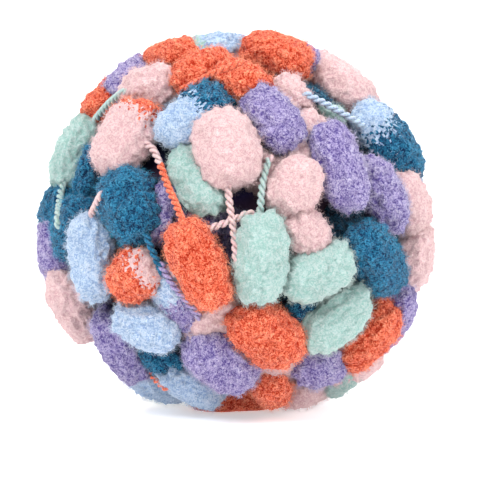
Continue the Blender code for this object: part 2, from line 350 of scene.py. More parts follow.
def length_setting(name, description, usual, least, most):
    """A setting for a length, whose values here are in millimetres."""
    return FloatProperty(name=name, description=description, default=usual * MM,
                         min=least * MM, max=most * MM, unit="LENGTH")


def amount_setting(name, description, usual, most, unit="NONE"):
    return FloatProperty(name=name, description=description, default=usual,
                         min=0, max=most, unit=unit)


class YarnSettings(bpy.types.PropertyGroup):
    """What the yarn is made of."""

    pile_relief: length_setting("Pile relief", "Depth of the pits between clumps", 2.0, 0, 4)
    fibre_length: length_setting("Fibre length", "How far a loose fibre stands out", 1.9, 0.2, 6)
    fibre_width: length_setting("Fibre width", "Stands for a few real fibres", 0.1, 0.02, 1)
    fibre_density: amount_setting("Fibres", "Loose ones on a square millimetre", 1.15, 5)
    ply_thickness: length_setting("Ply thickness", "Of each of the two plies", 1.5, 0.3, 4)
    cord_pitch: length_setting("Cord pitch", "Length of one turn of the twist", 5.4, 2, 20)


class StageSettings(bpy.types.PropertyGroup):
    """The floor and the light."""

    floor_colour: FloatVectorProperty(
        name="Floor colour", description="Colour of the floor and its sweep",
        default=linear("FAFAFA"), size=3, min=0, max=1, subtype="COLOR",
    )
    key_power: amount_setting("Key light", "From above the front left", 16.0, 200, "POWER")
    fill_power: amount_setting("Fill light", "From the right", 8.0, 200, "POWER")
    backdrop_power: amount_setting("Backdrop light", "Keeps it white", 30.0, 500, "POWER")
    surround: amount_setting("Surround", "Even white light from all around", 0.28, 5)
    sweep_radius: length_setting("Sweep", "Radius of the floor's bend", 400, 50, 2000)


def make_pompom(centre, along, length, width, tail, tip, tip_share=0.5):
    """A pompom whose long axis lies as nearly along the given way as it can."""
    out = unit(centre - MIDDLE)
    along = unit(along - out * (along @ out))
    across = np.cross(out, along)
    halves = np.array([length, width, width * POMPOM_THICKNESS]) / 2
    shape = np.column_stack([along, across, out]) * halves
    return Pompom(centre, shape, tail, tip, tip_share)


def sight_of(column, row):
    """The way from the eye through one place of the picture."""
    to_right = (column - MIDDLE_COLUMN) * PIXEL
    to_top = (MIDDLE_ROW - row) * PIXEL
    return unit(MIDDLE + RIGHT * to_right + UP * to_top - EYE)


def place_seen(column, row, depth):
    """Where a line of sight meets the ball's even surface, sunk by a depth."""
    sight = sight_of(column, row)
    shell = HALF_SIZE - depth
    start = (EYE - MIDDLE) / shell
    step = sight / shell
    square = step @ step
    half_slope = start @ step
    under_root = half_slope ** 2 - square * (start @ start - 1)
    reach = (-half_slope - math.sqrt(max(under_root, 0))) / square
    spot = start + step * reach
    return MIDDLE + shell * spot / max(np.linalg.norm(spot), 1)


def seen_pompom(row):
    """Set a pompom on the line of sight through its place in the picture."""
    length = row.length_mm * MM
    width = row.width_mm * MM
    sight = sight_of(row.column, row.row)
    centre = place_seen(row.column, row.row, width / 2 - row.lift_mm * MM)
    out = unit(centre - MIDDLE)
    across_view = turned(RIGHT, UP, math.radians(row.turn_deg))
    facing = min(sight @ out, EDGE_FACING)
    lean = -(across_view @ out) / facing
    lean = max(-STEEPEST_LEAN, min(STEEPEST_LEAN, lean))
    along = across_view + sight * lean
    return make_pompom(centre, along, length, width, row.tail, row.tip or row.tail, row.tip_share)


def even_directions(count):
    """Directions spread evenly over a sphere by the golden angle."""
    turn = np.arange(count) * math.pi * (3 - math.sqrt(5))
    height = 1 - (2 * np.arange(count) + 1) / count
    radius = np.sqrt(1 - height ** 2)
    return np.column_stack([radius * np.cos(turn), radius * np.sin(turn), height])


def next_dye(chance, centre, pompoms):
    """One of the three dyes that lie farthest from this place."""
    distance = {
        dye: min(np.linalg.norm(pompom.centre - centre) for pompom in pompoms
                 if dye in (pompom.tail, pompom.tip))
        for dye in DYES
    }
    return chance.choice(sorted(DYES, key=distance.get)[-3:])


def in_half_axes(points, pompom):
    """Points as they lie from a pompom's middle, in its half axes."""
    return (points - pompom.centre) @ np.linalg.inv(pompom.shape).T


def room_around(places, pompoms):
    """How far each place is from the nearest pompom's surface."""
    room = np.full(len(places), np.inf)
    for pompom in pompoms:
        spread = norms(in_half_axes(places, pompom))
        room = np.minimum(room, (spread - 1) * np.linalg.norm(pompom.shape[:, 1]))
    return room


def roomiest_way(centre, length, pompoms):
    """The way a pompom can lie so that its ends meet the least."""
    out = unit(centre - MIDDLE)
    first = unit(np.cross(out, RIGHT + UP))
    second = np.cross(out, first)
    turns = np.arange(TRIAL_TURNS) * math.pi / TRIAL_TURNS
    ways = turned(first, second, turns[:, None])
    ends = [room_around(centre + ways * side * length / 2, pompoms) for side in (-1, 1)]
    return ways[int(np.minimum(*ends).argmax())]


def hidden_pompoms(placed):
    """Fill the sides and the back: each pompom goes where there is most room."""
    chance = random.Random(SEED)
    pompoms = list(placed)
    directions = even_directions(TRIAL_SPOTS)
    directions = directions[directions @ -AHEAD < DEEP_FACING]
    in_seen_gap = directions @ -AHEAD > FREE_FACING
    depths = POMPOM_WIDTH[0] / 2 - LIFT_IN_SEEN_GAP * in_seen_gap
    spots = MIDDLE + directions * (HALF_SIZE - depths[:, None])
    room = room_around(spots, pompoms)
    while room.max() > NARROWEST_GAP:
        best = int(room.argmax())
        wideness = min((room[best] - NARROWEST_GAP) / (WIDE_GAP - NARROWEST_GAP), 1)
        lift = LIFT_IN_NARROWEST_GAP * (1 - wideness) + chance.uniform(*HIDDEN_LIFT)
        if in_seen_gap[best]:
            lift = LIFT_IN_SEEN_GAP
        length = chance.uniform(*POMPOM_LENGTH)
        width = chance.uniform(*POMPOM_WIDTH)
        centre = MIDDLE + directions[best] * (HALF_SIZE - width / 2 + lift)
        along = roomiest_way(centre, length, pompoms)
        tail = next_dye(chance, centre, pompoms)
        tip = next_dye(chance, centre, pompoms) if chance.random() < TWO_TONE_SHARE else tail
        # In a gap that can be seen, a pompom takes a dark dye, which the gaps show and which also
        # paints part of their shade
        if in_seen_gap[best]:
            tail = tip = chance.choice(DARK_DYES)
        pompoms.append(make_pompom(centre, along, length, width, tail, tip))
        room = np.minimum(room, room_around(spots, pompoms[-1:]))
    return pompoms[len(placed):]


def centred(pompoms):
    """Move all the pompoms level so that their outline is centred on the origin."""
    halves = np.array([norms(pompom.shape) for pompom in pompoms])
    centres = np.array([pompom.centre for pompom in pompoms])
    off_centre = ((centres - halves).min(axis=0) + (centres + halves).max(axis=0)) / 2
    off_centre[2] = 0
    return [pompom._replace(centre=pompom.centre - off_centre) for pompom in pompoms]


def centring_move():
    """How far the centring moved what the photograph's eye saw."""
    return lay_out_pompoms()[0].centre - seen_pompom(SEEN_POMPOMS[0]).centre


@lru_cache
def lay_out_pompoms():
    placed = [seen_pompom(row) for row in SEEN_POMPOMS]
    # The lowest one, which the ball's weight presses flat
    length, width = POMPOM_LENGTH[1], POMPOM_WIDTH[1]
    foot = MIDDLE - np.array([0, 0, HALF_SIZE[2] - width / 2])
    placed.append(make_pompom(foot, RESTING_WAY, length, width, "coral", "coral"))
    return centred(placed + hidden_pompoms(placed))


def unevenness(number, directions):
    """Swells over one pompom, the same each time they are asked for."""
    chance = np.random.default_rng(SEED * 1000 + number)
    total = np.zeros(len(directions))
    for height, count, wave_number in SWELLS:
        waves = chance.normal(0, wave_number, (count, 3))
        phases = chance.uniform(0, 2 * math.pi, count)
        heights = np.sin(directions @ waves.T + phases).sum(axis=1)
        total += heights * height / math.sqrt(count)
    return total


def swell(number, directions):
    """How far the blunt, uneven surface is from a pompom's middle, in half axes."""
    along = np.abs(directions[:, 0])
    across = norms(directions[:, 1:])
    blunt = (along ** FULLNESS + across ** FULLNESS) ** (1 / FULLNESS)
    return (1 + unevenness(number, directions)) / blunt


def surface_of(number, directions):
    """Points and outward normals on a pompom's even surface."""
    pompom = lay_out_pompoms()[number]
    local = directions * swell(number, directions)[:, None]
    points = pompom.centre + local @ pompom.shape.T
    across = norms(local[:, 1:])[:, None]
    slope = local * across ** (FULLNESS - 2)
    slope[:, 0] = np.sign(local[:, 0]) * np.abs(local[:, 0]) ** (FULLNESS - 1)
    return points, units(slope @ np.linalg.inv(pompom.shape))


def clearance(points, number):
    """How far points are outside a pompom, less than 0 inside."""
    pompom = lay_out_pompoms()[number]
    local = in_half_axes(points, pompom)
    spread = norms(local)
    reach = swell(number, units(local))
    return (spread / reach - 1) * np.linalg.norm(pompom.shape[:, 1])


@lru_cache
def sphere_mesh(subdivisions):
    """Vertices and triangles of a ball of radius 1."""
    shape = bmesh.new()
    bmesh.ops.create_icosphere(shape, subdivisions=subdivisions, radius=1)
    points = units(np.array([tuple(vertex.co) for vertex in shape.verts]))
    faces = np.array([[vertex.index for vertex in face.verts] for face in shape.faces])
    shape.free()
    return points, faces


def add_object(name, data):
    added = bpy.data.objects.new(name, data)
    bpy.context.scene.collection.objects.link(added)
    return added


def mesh_of(name, points, faces, materials):
    """A smooth mesh of points and triangles."""
    mesh = bpy.data.meshes.new(name)
    mesh.from_pydata(points, [], faces)
    mesh.shade_smooth()
    for material in materials:
        mesh.materials.append(material)
    return mesh


def mesh_piece(name, points, faces, materials, face_materials=None, maps=None):
    """A piece of the ball, with its triangles' material numbers and its named maps."""
    mesh = mesh_of(name, points, faces, materials)
    if face_materials is not None:
        mesh.polygons.foreach_set("material_index", face_materials)
    for map_name, places in (maps or {}).items():
        layer = mesh.uv_layers.new(name=map_name)
        layer.uv.foreach_set("vector", np.float32(places[faces.ravel()]).ravel())
    piece = add_object(name, mesh)
    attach(piece, BODY)
    return piece


@lru_cache
def noise_slopes():
    return units(np.random.default_rng(SEED).normal(0, 1, (NOISE_WAYS, 3)))


def lattice_noise(places):
    """Smooth noise about 0, whose lumps are about one unit across."""
    cell = np.floor(places).astype(np.int64)
    part = places - cell
    fade = part ** 3 * (part * (part * 6 - 15) + 10)
    total = np.zeros(len(places))
    for corner in np.ndindex(2, 2, 2):
        slot = np.bitwise_xor.reduce((cell + corner) * NOISE_PRIMES, axis=1) % NOISE_WAYS
        slope = (noise_slopes()[slot] * (part - corner)).sum(axis=1)
        total += slope * np.where(corner, fade, 1 - fade).prod(axis=1)
    return total


def layered_noise(points, layers):
    return sum(height * lattice_noise(points / size) for size, height in layers)


def above_floor(points, height):
    """Points of which none is lower than a height."""
    points[..., 2] = np.maximum(points[..., 2], height)
    return points


def wound_core():
    """The points and triangles of the yarn under the outer pompoms."""
    directions, faces = sphere_mesh(CORE_SUBDIVISIONS)
    points = directions * (HALF_SIZE - CORE_DEPTH)
    lumps = layered_noise(points, CORE_LUMPS)[:, None] * CORE_RELIEF
    return MIDDLE + points + directions * lumps, faces


def joined(shapes):
    """One array of points and one of triangles from several."""
    starts = np.cumsum([0] + [len(points) for points, _ in shapes[:-1]])
    points = np.concatenate([points for points, _ in shapes])
    faces = np.concatenate([faces + start for (_, faces), start in zip(shapes, starts)])
    return points, faces


@lru_cache
def surface_at(depth):
    """The points and triangles of every pompom, sunk by a depth, and of the core last."""
    directions, faces = sphere_mesh(HEART_SUBDIVISIONS)
    shapes = []
    for number in range(len(lay_out_pompoms())):
        points, normals = surface_of(number, directions)
        shapes.append((above_floor(points - normals * depth, HEART_ABOVE_FLOOR), faces))
    return joined([*shapes, wound_core()])


@lru_cache
def tree_at(depth):
    points, faces = surface_at(depth)
    return BVHTree.FromPolygons(points.tolist(), faces.tolist())


def ray_reach(start, way, otherwise):
    """How far a ray goes before it meets the ball, or the last value if it misses it."""
    hit = tree_at(0.0).ray_cast(Vector(start), Vector(way))
    return hit[3] if hit[0] is not None else otherwise


def open_to_air(points, normals):
    """Which points can be seen from outside: any of their rays meets nothing."""
    tree = tree_at(HEART_DEPTH)
    out = units(points - MIDDLE)
    side = units(np.cross(normals, ANY_SKEW_WAY))
    other = np.cross(normals, side)
    ways = [units(normals + out), out]
    for ray in range(RAYS_IN_RING):
        tilt = turned(side, other, ray * 2 * math.pi / RAYS_IN_RING)
        ways.append(units(normals + ESCAPE_TILT * tilt))
    starts = points + normals * HEART_DEPTH
    return np.array([
        any(tree.ray_cast(Vector(start), Vector(way))[0] is None for way in rays)
        for start, rays in zip(starts, np.stack(ways, axis=1))
    ], bool)


def crowding(points, number):
    """The clearance from the nearest other pompom, less than 0 inside it."""
    pompoms = lay_out_pompoms()
    nearest = np.full(len(points), np.inf)
    for other, pompom in enumerate(pompoms):
        apart = np.linalg.norm(pompom.centre - pompoms[number].centre)
        if other != number and apart < NEIGHBOUR_REACH:
            near = norms(in_half_axes(points, pompom)) < NEAR_IN_HALF_AXES
            nearest[near] = np.minimum(nearest[near], clearance(points[near], other))
    return nearest


@lru_cache
def pompom_grid():
    """An even grid over a pompom: directions, triangles, map places, nearest heart points.

    A square is folded over the ball's two halves so that its cells stay alike in area.
    """
    steps = np.linspace(-1, 1, PILE_GRID + 1)
    u, v = [side.ravel() for side in np.meshgrid(steps, steps)]
    above = 1 - np.abs(u) - np.abs(v)
    ring = 1 - np.abs(above)
    lean = np.divide(np.abs(v) - np.abs(u), ring, out=np.zeros_like(u), where=ring > 1e-9)
    turn = (lean + 1) * math.pi / 4
    reach = ring * np.sqrt(2 - ring ** 2)
    folded = np.column_stack([np.cos(turn) * reach, np.sin(turn) * reach, 1 - ring ** 2])
    directions = np.copysign(folded, np.column_stack([u, v, above]))
    row, column = np.indices((PILE_GRID, PILE_GRID)).reshape(2, -1)
    first = row * (PILE_GRID + 1) + column
    second, third, fourth = first + 1, first + PILE_GRID + 1, first + PILE_GRID + 2
    alike = (column * 2 < PILE_GRID) == (row * 2 < PILE_GRID)
    faces = np.concatenate([
        np.column_stack([first, second, np.where(alike, third, fourth)]),
        np.column_stack([np.where(alike, second, first), fourth, third]),
    ])
    nearest = (directions @ sphere_mesh(HEART_SUBDIVISIONS)[0].T).argmax(axis=1)
    return directions, faces, np.column_stack([u, v]) / 2 + 0.5, nearest


def pile_height(points, number):
    """How high the pile stands, from 0 in its pits to 1 on its clumps."""
    places = points + CLUMP_SHIFT * number
    total = np.zeros(len(points))
    for size, share in CLUMPS:
        from_pit = np.abs(lattice_noise(places / size))
        total += share * np.minimum(from_pit / PIT_WIDTH, 1) ** PIT_CURVE
    return total


def painted_shade_at(points):
    """Painted shade: how light the fibres' colour is, from 1 at the ball's surface down to the
    deepest shade.
    """
    spread = norms((points - MIDDLE) / HALF_SIZE)
    depth = (1 - spread) * HALF_SIZE.mean()
    shaded = np.clip((depth - SHADE_STARTS) / (SHADE_ENDS - SHADE_STARTS), 0, 1)
    return 1 - (1 - DEEPEST_SHADE) * shaded


def dyes_along(number, along):
    """The dye's number at places from -1, a pompom's tail, to 1, its tip."""
    pompom = lay_out_pompoms()[number]
    is_tip = along > 1 - 2 * pompom.tip_share
    return np.where(is_tip, DYE_NUMBERS[pompom.tip], DYE_NUMBERS[pompom.tail])


Pile = namedtuple("Pile", "points normals heights faces dyes fibre_dyes places")


def pile_of(number, settings):
    """The pile that can be seen on one pompom."""
    directions, faces, places, nearest = pompom_grid()
    points, normals = surface_of(number, sphere_mesh(HEART_SUBDIVISIONS)[0])
    seen = crowding(points, number) > BURIED_HEART
    seen[seen] = open_to_air((points - normals * HEART_DEPTH)[seen], normals[seen])
    in_view = seen[nearest]
    points, normals = surface_of(number, directions)
    gap = np.full(len(points), -1.0)
    gap[in_view] = crowding(points[in_view], number)
    kept = in_view & (gap > BURIED_PILE) & (points[:, 2] > LOWEST_PILE)
    faces = faces[kept[faces].any(axis=1)]
    used = np.unique(faces)
    height = np.ones(len(points))
    height[used] = pile_height(points[used], number)
    settled = np.clip((CROWDED - gap) / (CROWDED - BURIED), 0, 1) * SQUEEZE
    rise = (height - EVEN_HEIGHT) * settings.pile_relief - settled
    points = above_floor(points + normals * rise[:, None], PILE_ABOVE_FLOOR)
    ragged = layered_noise(points[faces].mean(axis=1), RAGGED_LUMPS)
    mixed = np.random.default_rng(SEED + number).normal(0, 1, len(faces))
    along = directions[faces][:, :, 0].mean(axis=1) + ragged * RAGGED_DYE
    dyes = [dyes_along(number, place) for place in (along, along + mixed * MIXED_DYE)]
    return Pile(points, normals, height, faces, *dyes, places)


def pile_piece(name, dye, piles):
    """One dye's pile over all the pompoms that wear it, with a map tile for each."""
    wearing = [pile for pile in piles if (pile.dyes == dye).any()]
    tiles = math.ceil(math.sqrt(len(wearing)))
    shapes = []
    maps = {UV_MAP: [], DEPTH_MAP: []}
    for number, pile in enumerate(wearing):
        used, faces = np.unique(pile.faces[pile.dyes == dye], return_inverse=True)
        points = pile.points[used]
        shapes.append((points, faces.reshape(-1, 3)))
        tile = np.array(divmod(number, tiles))
        places = TILE_MARGIN + (1 - 2 * TILE_MARGIN) * pile.places[used]
        maps[UV_MAP].append((tile + places) / tiles)
        # Painted shade by depth, times random patches of tone
        shade = painted_shade_at(points) * (1 + layered_noise(points, MOTTLED_TONE))
        maps[DEPTH_MAP].append(np.column_stack([shade, pile.heights[used]]))
    maps = {map_name: np.concatenate(rows) for map_name, rows in maps.items()}
    materials = [brushed_polyester_pile(name)]
    return mesh_piece(f"pompom_pile_{name}", *joined(shapes), materials, maps=maps)


def fibre_piece(name, dye, piles, settings):
    """Loose fibre ends that stand out of one dye's pile and bend over."""
    chance = np.random.default_rng(SEED + dye)
    roots, ways = [], []
    for pile in piles:
        faces = pile.faces[pile.fibre_dyes == dye]
        if not len(faces):
            continue
        corners = pile.points[faces]
        sides = np.cross(corners[:, 1] - corners[:, 0], corners[:, 2] - corners[:, 0])
        areas = norms(sides) / 2
        count = int(areas.sum() / MM ** 2 * settings.fibre_density)
        # Most grow on the clumps
        weights = areas * pile.heights[faces].mean(axis=1) ** 3
        chosen = chance.choice(len(faces), count, p=weights / weights.sum())
        mix = chance.dirichlet((1, 1, 1), count)[:, :, None]
        roots.append((corners[chosen] * mix).sum(axis=1))
        ways.append(pile.normals[faces[chosen][:, 0]])
    roots, ways = np.concatenate(roots), np.concatenate(ways)
    count = len(roots)
    swirl = chance.normal(0, 1, (count, 3))
    swirl = units(swirl - ways * (swirl * ways).sum(axis=1, keepdims=True))
    lengths = settings.fibre_length * chance.uniform(*FIBRE_LENGTHS, (count, 1))
    rise = units(ways + swirl * chance.uniform(*FIBRE_LEANS, (count, 1)))
    bent = units(ways * BENT_UPRIGHT + swirl)
    side = units(np.cross(rise, chance.normal(0, 1, (count, 3)))) * settings.fibre_width / 2
    middle = roots + rise * lengths * BENDS_AT
    tips = middle + bent * lengths * BENT_LENGTH
    points = np.stack([roots, middle - side, middle + side, tips], axis=1)
    points = above_floor(points, PILE_ABOVE_FLOOR).reshape(-1, 3)
    leaf = np.array([(0, 1, 2), (1, 3, 2)])
    faces = (leaf + 4 * np.arange(count)[:, None, None]).reshape(-1, 3)
    shades = chance.uniform(*FIBRE_SHADES, count)
    places = LEAF_MAP + shades[:, None, None] * np.array([1, 0])
    # The fibres carry the painted shade of their roots' depth
    depths = np.column_stack([painted_shade_at(roots), shades]).repeat(4, axis=0)
    maps = {UV_MAP: places.reshape(-1, 2), DEPTH_MAP: depths}
    return mesh_piece(f"loose_fibres_{name}", points, faces, [loose_fibre_ends(name)], maps=maps)


def smoothed(points):
    """A path whose inner points move towards the middle of their neighbours."""
    points = points.copy()
    for _ in range(CORD_SMOOTHING):
        points[1:-1] = points[1:-1] / 2 + (points[:-2] + points[2:]) / 4
    return points


def run_along(points):
    """How far along a path each of its points is."""
    steps = norms(np.diff(points, axis=0))
    return np.concatenate([[0], np.cumsum(steps)])


def stepped(points, step):
    """A path's points anew at even steps along it."""
    run = run_along(points)
    marks = np.linspace(0, run[-1], max(int(run[-1] / step), 2) + 1)
    return np.column_stack([np.interp(marks, run, axis) for axis in points.T])


def seen_cord_path(places):
    """A taut cord over what lies under it, on the lines of sight of its places."""
    eye = EYE + centring_move()
    picture = stepped(np.array(places), PIXEL_STEP)
    sights = np.array([sight_of(*place) for place in picture])
    reaches = []
    for sight, place in zip(sights, picture):
        deepest = place_seen(*place, DEEPEST_CORD) - EYE
        reach = ray_reach(eye, sight, EYE_DISTANCE) - ROUND_CORD
        reaches.append(min(reach, deepest @ sight))
    taut = np.linspace(reaches[0], reaches[-1], len(reaches))
    return eye + sights * np.minimum(reaches, taut)[:, None]


def inside_pompom(end, before, dye):
    """Where a cord's end goes on into the nearest pompom, of its own dye if it can."""
    pompoms = lay_out_pompoms()
    choices = []
    for number, pompom in enumerate(pompoms):
        if np.linalg.norm(pompom.centre - end) < NEIGHBOUR_REACH:
            gap = clearance(end[None], number)[0]
            own = dye in (pompom.tail, pompom.tip) and gap < FARTHEST_OWN_DYE
            choices.append((not own, gap, number))
    _, gap, number = min(choices)
    way = unit(unit(pompoms[number].centre - end) + STRAIGHT_ON * unit(end - before))
    return end + way * (max(gap, 0) + TUCKED_IN)


def tucked(path, dyes):
    """A smooth path, with two ends that go on into the pompoms that they join."""
    path = stepped(smoothed(path), CORD_STEP * 2)
    first = inside_pompom(path[0], path[STRAIGHT_STEPS], dyes[0])
    last = inside_pompom(path[-1], path[-1 - STRAIGHT_STEPS], dyes[-1])
    return smoothed(stepped(np.vstack([first, path, last]), CORD_STEP))


def hidden_cord_ends():
    """Where cords may leave the pompoms on the sides that the photograph hides."""
    for number, pompom in enumerate(lay_out_pompoms()):
        for side, dye in ((-1, pompom.tail), (1, pompom.tip)):
            place = pompom.centre + pompom.shape[:, 0] * side * CORD_LEAVES_AT
            facing = unit(place - MIDDLE) @ -AHEAD
            if facing < SEEN_FACING and place[2] > LOWEST_CORD_END:
                yield CordEnd(number, side, dye, place)


def hidden_cord_paths():
    """Taut cords between near ends of hidden pompoms, each with its dyes."""
    shortest, longest = HIDDEN_CORD_LENGTH
    pairs = [
        (first, second) for first, second in combinations(hidden_cord_ends(), 2)
        if first.number != second.number
        and shortest < np.linalg.norm(second.place - first.place) < longest
    ]
    random.Random(SEED).shuffle(pairs)
    used, paths = set(), []
    for ends in pairs:
        joins = {(end.number, end.side) for end in ends}
        if joins & used:
            continue
        line = np.linspace(ends[0].place, ends[1].place, HIDDEN_CORD_PLACES)
        gaps = [clearance(line, end.number) for end in ends]
        line = line[np.minimum(*gaps) > 0]
        if len(line) < FEWEST_FREE_PLACES:
            continue
        ways, reach = units(line - MIDDLE), norms(line - MIDDLE)
        starts = MIDDLE + ways * OUTSIDE_BALL
        inwards = [ray_reach(*ray, OUTSIDE_BALL) for ray in zip(starts, -ways)]
        outer = OUTSIDE_BALL - np.array(inwards)
        over = reach - outer
        if over.min() < HIDDEN_BELOW * 2 or (over > HIDDEN_BELOW).mean() < SHARE_IN_OPEN:
            continue
        used |= joins
        path = MIDDLE + ways * np.maximum(reach, outer + ROUND_CORD)[:, None]
        paths.append((path, [end.dye for end in ends]))
    return paths


def twisted_cord(path, settings, turn):
    """The two plies of a cord, as tubes that wind around each other along a path."""
    along = units(np.gradient(path, axis=0))
    side = units(np.cross(along, units(path - MIDDLE)))
    out = np.cross(side, along)
    twist = (turn + run_along(path) / settings.cord_pitch * 2 * math.pi)[:, None]
    radius = settings.ply_thickness / 2
    corners = np.arange(PLY_SIDES)
    angles = (corners * 2 * math.pi / PLY_SIDES)[:, None]
    rings = np.arange(len(path) - 1)[:, None] * PLY_SIDES
    near, beside = rings + corners, rings + (corners + 1) % PLY_SIDES
    over, over_beside = near + PLY_SIDES, beside + PLY_SIDES
    faces = np.stack([near, beside, over_beside, near, over_beside, over], axis=-1).reshape(-1, 3)
    shapes = []
    for ply in (0, math.pi):
        spoke = turned(side, out, twist + ply)
        middle = path + spoke * radius * PLY_SPREAD
        ply_along = units(np.gradient(middle, axis=0))
        first = units(np.cross(ply_along, spoke))
        second = np.cross(first, ply_along)
        round_it = turned(first[:, None], second[:, None], angles)
        points = (middle[:, None] + round_it * radius).reshape(-1, 3)
        shapes.append((points, faces))
    return joined(shapes)


def add_node(tree, kind, settings):
    """Add a node with its settings. One that is another node's socket becomes a link."""
    node = tree.nodes.new(kind)
    for name, value in settings.items():
        if isinstance(value, bpy.types.NodeSocket):
            tree.links.new(value, node.inputs[name])
        elif isinstance(name, int) or name in node.inputs.keys():
            node.inputs[name].default_value = value
        else:
            setattr(node, name, value)
    return node


def add_noise(tree, size, **settings):
    """Noise through the solid, whose lumps are about one real size across."""
    solid = add_node(tree, "ShaderNodeTexCoord", {}).outputs["Object"]
    settings = {"Vector": solid, "Scale": 1 / size, **settings}
    return add_node(tree, "ShaderNodeTexNoise", settings).outputs["Fac"]


def add_math(tree, operation, first, second):
    settings = {"operation": operation, 0: first, 1: second}
    return add_node(tree, "ShaderNodeMath", settings).outputs[0]


def add_range(tree, value, start, end, low=0.0, high=1.0):
    """A value's range, from its start to its end, mapped onto low to high."""
    settings = {"Value": value, "From Min": start, "From Max": end, "To Min": low, "To Max": high}
    return add_node(tree, "ShaderNodeMapRange", settings).outputs["Result"]


def add_ramp(tree, value, stops):
    """A colour ramp over a value. Each stop is a place and a hex colour."""
    ramp = add_node(tree, "ShaderNodeValToRGB", {"Fac": value})
    elements = ramp.color_ramp.elements
    while len(elements) < len(stops):
        elements.new(0.5)
    for element, (place, colour) in zip(elements, stops):
        element.position = place
        element.color = (*linear(colour), 1)
    return ramp.outputs["Color"]


def add_bump(tree, height, distance, strength):
    settings = {"Height": height, "Distance": distance, "Strength": strength}
    return add_node(tree, "ShaderNodeBump", settings).outputs["Normal"]


def add_depth_map(tree):
    """The painted shade and the pile's height, which a piece carries in one of its maps."""
    place = add_node(tree, "ShaderNodeUVMap", {"uv_map": DEPTH_MAP}).outputs["UV"]
    return add_node(tree, "ShaderNodeSeparateXYZ", {"Vector": place}).outputs[:2]


def add_painted_shade(tree, colour, shade):
    """A colour, darkened with the painted shade."""
    settings = {"Color": colour, "Value": shade}
    return add_node(tree, "ShaderNodeHueSaturation", settings).outputs["Color"]


def new_material(name, dye_name=None):
    """A material, its empty tree and, if it is dyed, its dye."""
    material = bpy.data.materials.new(f"{name}_{dye_name}" if dye_name else name)
    material.use_nodes = True
    material.node_tree.nodes.clear()
    return material, material.node_tree, DYES.get(dye_name)


def finish_material(material, settings):
    """Give a material its shader, matt but for its own settings."""
    tree = material.node_tree
    shader = add_node(tree, "ShaderNodeBsdfPrincipled", {**MATT, **settings})
    add_node(tree, "ShaderNodeOutputMaterial", {"Surface": shader.outputs["BSDF"]})
    return material


def brushed_polyester_pile(dye_name):
    """Brushed polyester microfibre: soft and matt, paler at the tips with painted light, darker in
    the pits with painted shade.
    """
    material, tree, dye = new_material("brushed_polyester_pile", dye_name)
    shade, height = add_depth_map(tree)
    # Creases between the curls, along the noise's middle value, broken by patches: they shape the
    # bump and take painted shade in the colour
    lumps = add_noise(tree, 1.8 * MM, Detail=2.0, Distortion=0.6)
    folded = add_math(tree, "PINGPONG", lumps, 0.5)
    crease = add_range(tree, folded, 0.43, 0.485, low=1.0, high=0.0)
    closed = add_range(tree, add_noise(tree, 1.3 * MM, Detail=1.0), 0.5, 0.62)
    curls = add_math(tree, "MAXIMUM", crease, closed)
    # Real fibres are far finer than the 0.6 mm that is drawn here
    fibres = add_noise(tree, 0.6 * MM, Detail=2.0, Roughness=0.6)
    relief = add_math(tree, "MULTIPLY", curls, add_range(tree, fibres, 0.32, 0.68, low=0.15))
    # Painted light and shade: the colour runs from the roots' shade in the creases and pits to the
    # pale tips on the clumps, with the fibres' grain
    grain_and_painted_shading = add_math(tree, "MULTIPLY", relief, add_range(tree, height, 0.0, 1.0, low=0.35))
    colour = add_ramp(tree, grain_and_painted_shading, [(0.04, dye.root), (0.4, dye.flank), (0.85, dye.tip)])
    return finish_material(material, {
        "Base Color": add_painted_shade(tree, colour, shade),
        "Normal": add_bump(tree, relief, 0.5 * MM, dye.relief),
        "Sheen Weight": 0.15, "Sheen Roughness": 0.5,
        "Subsurface Weight": 0.3, "Subsurface Radius": (1, 0.9, 0.8), "Subsurface Scale": 1.2 * MM,
    })


def loose_fibre_ends(dye_name):
    """Single polyester fibre ends: pale and thin, they blur the pile's edge; deep in the ball they
    take painted shade.
    """
    material, tree, dye = new_material("loose_fibre_ends", dye_name)
    shade, height = add_depth_map(tree)
    colour = add_ramp(tree, height, [(0.0, dye.flank), (0.6, dye.tip)])
    shaded = add_painted_shade(tree, colour, shade)
    return finish_material(material, {"Base Color": shaded, "Sheen Weight": 0.1})


def plied_polyester_cord(dye_name):
    """Two plies of spun polyester: matt, a little deeper than the pile, with spun fibres."""
    material, tree, dye = new_material("plied_polyester_cord", dye_name)
    fibres = add_noise(tree, 0.6 * MM, Detail=2.0)
    stops = [(0.2, dye.root), (0.48, dye.flank), (0.85, dye.tip)]
    return finish_material(material, {
        "Base Color": add_ramp(tree, fibres, stops),
        "Normal": add_bump(tree, fibres, 0.25 * MM, 0.7),
        "Roughness": 0.85, "Specular IOR Level": 0.2, "Sheen Weight": 0.2,
        "Subsurface Weight": 0.2, "Subsurface Scale": 0.8 * MM,
    })


def bound_fibre_heart(dye_name):
    """Tightly bound polyester fibre under the pile: matt, dark with painted shade, seen only in its
    pits.
    """
    material, tree, dye = new_material("bound_fibre_heart", dye_name)
    fibres = add_noise(tree, MM / 0.7, Detail=2.0)
    stops = [(0.35, dye.root), (0.7, dye.flank)]
    return finish_material(material, {"Base Color": add_ramp(tree, fibres, stops)})


def shaded_inner_yarn():
    """The same yarn in the depth of the ball: matt, its dyes darkened with painted shade for all
    that lies over it.
    """
    material, tree, _ = new_material("shaded_inner_yarn")
    patches = add_noise(tree, 16 * MM, Detail=0.0)
    curls = add_noise(tree, 1.8 * MM, Detail=2.0)
    # Dark teal, lilac and mauve: the dyes in painted shade
    stops = [(0.38, "031B30"), (0.5, "2A2244"), (0.62, "3A2A38")]
    return finish_material(material, {
        "Base Color": add_ramp(tree, patches, stops),
        "Normal": add_bump(tree, curls, 1.0 * MM, 1.0),
    })


